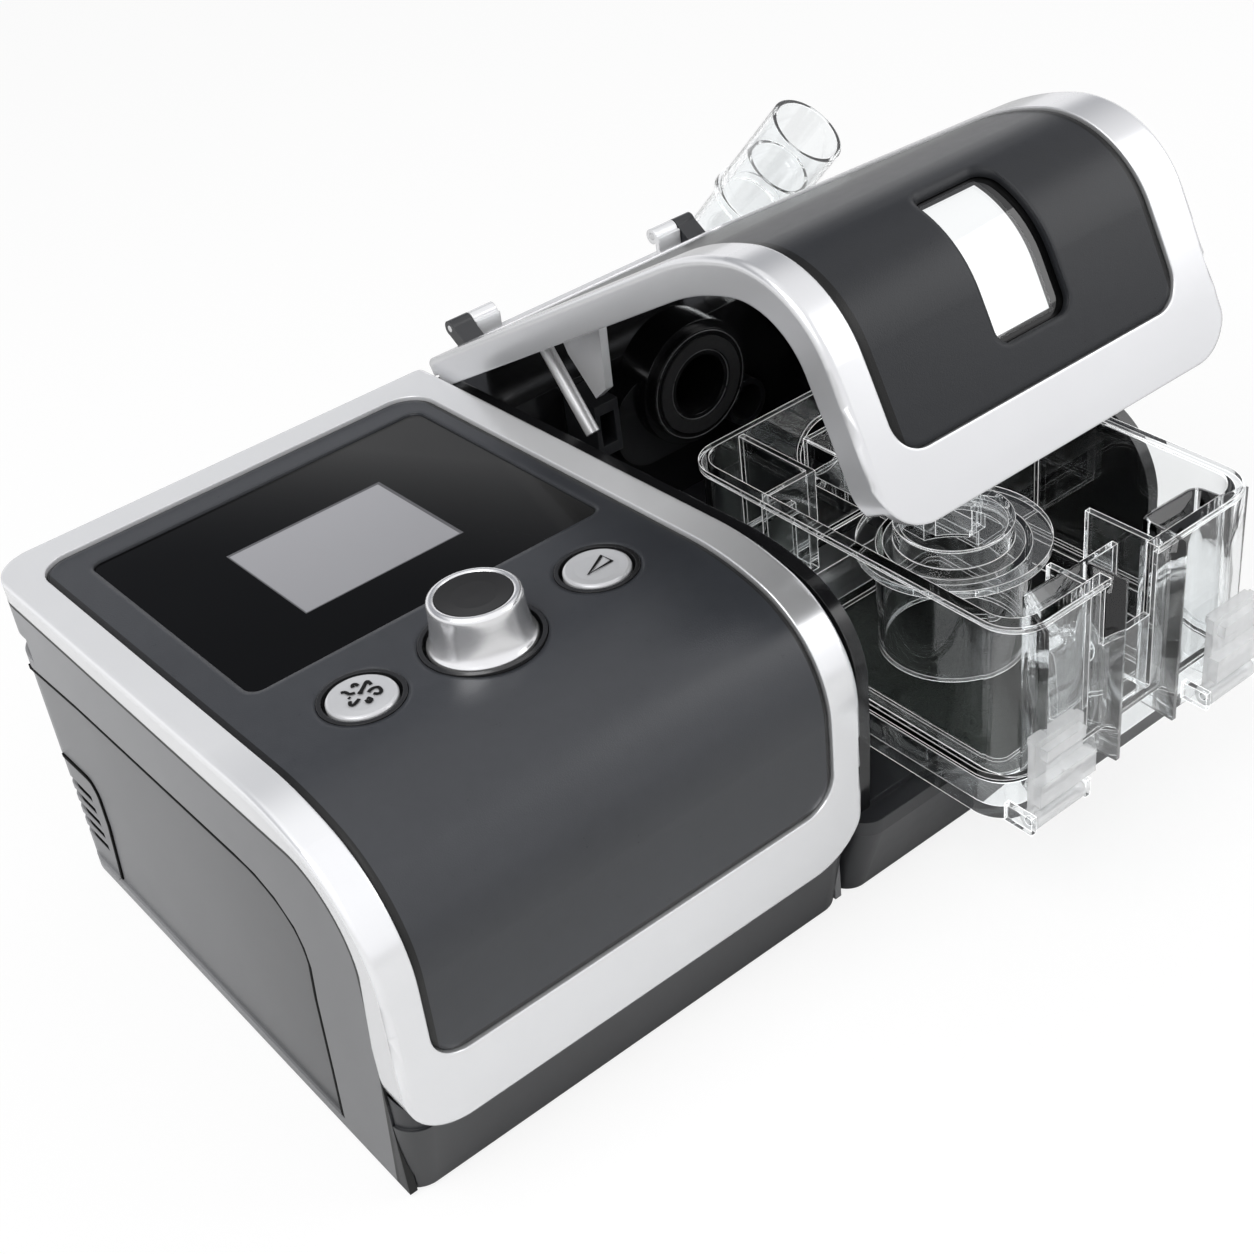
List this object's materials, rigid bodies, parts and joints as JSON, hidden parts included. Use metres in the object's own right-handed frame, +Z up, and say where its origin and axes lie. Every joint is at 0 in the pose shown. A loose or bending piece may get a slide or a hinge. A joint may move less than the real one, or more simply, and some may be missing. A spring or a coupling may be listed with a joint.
{
  "type": "bilevel pap machine",
  "caption": "Breathing machine: a wedge-fronted flow generator with screen, knob and buttons, docked to a heated humidifier with a raised lid and sliding clear tank.",
  "frame": {"origin": "under the middle of the whole product's bounding box, on the surface that the feet stand on", "axes": "+X to the right seen from the front, +Y to the back, +Z up"},
  "size_m": [0.3274, 0.2833, 0.2044],
  "materials": {
    "grey_case": "fine matt texture",
    "dark_case": "matt",
    "panel": "satin charcoal",
    "black_gloss": "gloss",
    "silver": "satin silver",
    "knob_metal": "satin turned",
    "button_white": "pearl",
    "screen": "dull screen",
    "clear": "clear moulded",
    "frost": "frosted moulded",
    "steel": "brushed",
    "rubber": "soft",
    "board": "board",
    "foam": "open filter",
    "white_inner": "natural moulded"
  },
  "bodies": {
    "main_unit": {"base_tub": "dark_case", "left_side_shell": "grey_case", "rear_panel": "grey_case", "right_side_wall": "grey_case", "main_feet": "rubber", "main_trim": "silver", "top_panel": "panel", "upper_case": "dark_case", "display_glass": "black_gloss", "display_module": "screen", "knob_well": "black_gloss", "rotary_encoder": "steel", "button_wells": "black_gloss", "button_switches": "dark_case", "main_board": "board", "card_socket": "dark_case", "power_board": "board", "power_inlet": "black_gloss", "blower_housing": "white_inner", "blower_cover": "white_inner", "blower_motor": "steel", "blower_mounts": "rubber", "docking_duct": "white_inner", "filter_housing": "dark_case", "filter_pad": "foam"},
    "impeller": {"impeller": "white_inner"},
    "filter_cover": {"filter_cover": "grey_case"},
    "memory_card": {"memory_card": "dark_case"},
    "encoder_plunger": {"encoder_plunger": "steel"},
    "knob": {"knob_shell": "knob_metal", "knob_cap": "panel"},
    "left_button": {"left_button": "button_white"},
    "ramp_button": {"ramp_button": "button_white"},
    "humidifier": {"humidifier_base": "dark_case", "humidifier_feet": "rubber", "heater_plate": "steel", "heater_insulator": "white_inner", "humidifier_left_wall": "black_gloss", "humidifier_right_wall": "black_gloss", "rear_housing": "black_gloss", "port_duct": "black_gloss", "port_ring": "black_gloss", "port_seal": "rubber", "bracket_block": "dark_case", "outlet_manifold": "dark_case", "hinge_rail": "dark_case"},
    "lid": {"lid_trim": "silver", "lid_panel": "panel", "lid_liner": "dark_case", "lid_window": "clear", "lid_stay": "steel", "hinge_pin": "steel"},
    "water_chamber": {"chamber_tank": "clear", "chamber_tray": "clear", "chamber_plate": "steel", "chamber_seal": "rubber", "air_passage": "clear"},
    "latch_left": {"latch_left": "frost"},
    "latch_right": {"latch_right": "frost"},
    "outlet_elbow": {"outlet_elbow": "clear"}
  },
  "joints": [
    {"name": "impeller_spin", "type": "hinge", "parent": "main_unit", "child": "impeller", "pos_m": [-0.1017, 0.0299, 0.0412], "axis": [0, 0, 1], "continuous": true},
    {"name": "filter_cover_slide", "type": "slide", "parent": "main_unit", "child": "filter_cover", "axis": [-1, 0, 0], "range_m": [0, 0.025]},
    {"name": "card_slide", "type": "slide", "parent": "main_unit", "child": "memory_card", "axis": [0, 1, 0], "range_m": [0, 0.025]},
    {"name": "knob_press", "type": "slide", "parent": "main_unit", "child": "encoder_plunger", "axis": [0, -0.0422, -0.9991], "range_m": [0, 0.0006], "stiffness_N_per_m": 2000},
    {"name": "knob_turn", "type": "hinge", "parent": "encoder_plunger", "child": "knob", "pos_m": [-0.0833, -0.0387, 0.12036], "axis": [0, 0.0422, 0.9991], "continuous": true},
    {"name": "left_button_press", "type": "slide", "parent": "main_unit", "child": "left_button", "axis": [0, -0.0422, -0.9991], "range_m": [0, 0.0006], "stiffness_N_per_m": 1500},
    {"name": "ramp_button_press", "type": "slide", "parent": "main_unit", "child": "ramp_button", "axis": [0, -0.0422, -0.9991], "range_m": [0, 0.0006], "stiffness_N_per_m": 1500},
    {"name": "undock_slide", "type": "slide", "parent": "main_unit", "child": "humidifier", "axis": [1, 0, 0], "range_m": [0, 0.03]},
    {"name": "lid_hinge", "type": "hinge", "parent": "humidifier", "child": "lid", "pos_m": [0.0663, 0.1124, 0.1202], "axis": [-1, 0, 0], "range_deg": [-6.5, 22]},
    {"name": "chamber_slide", "type": "slide", "parent": "humidifier", "child": "water_chamber", "axis": [0, 1, 0], "range_m": [0, 0.058]},
    {"name": "latch_left_hinge", "type": "hinge", "parent": "water_chamber", "child": "latch_left", "pos_m": [0.0343, -0.1367, 0.0452], "axis": [1, 0, 0], "range_deg": [0, 40]},
    {"name": "latch_right_hinge", "type": "hinge", "parent": "water_chamber", "child": "latch_right", "pos_m": [0.1113, -0.1367, 0.0452], "axis": [1, 0, 0], "range_deg": [0, 40]},
    {"name": "elbow_swivel", "type": "hinge", "parent": "humidifier", "child": "outlet_elbow", "pos_m": [0.1209, 0.1107, 0.0635], "axis": [0, 1, 0], "range_deg": [0, 60]}
  ]
}
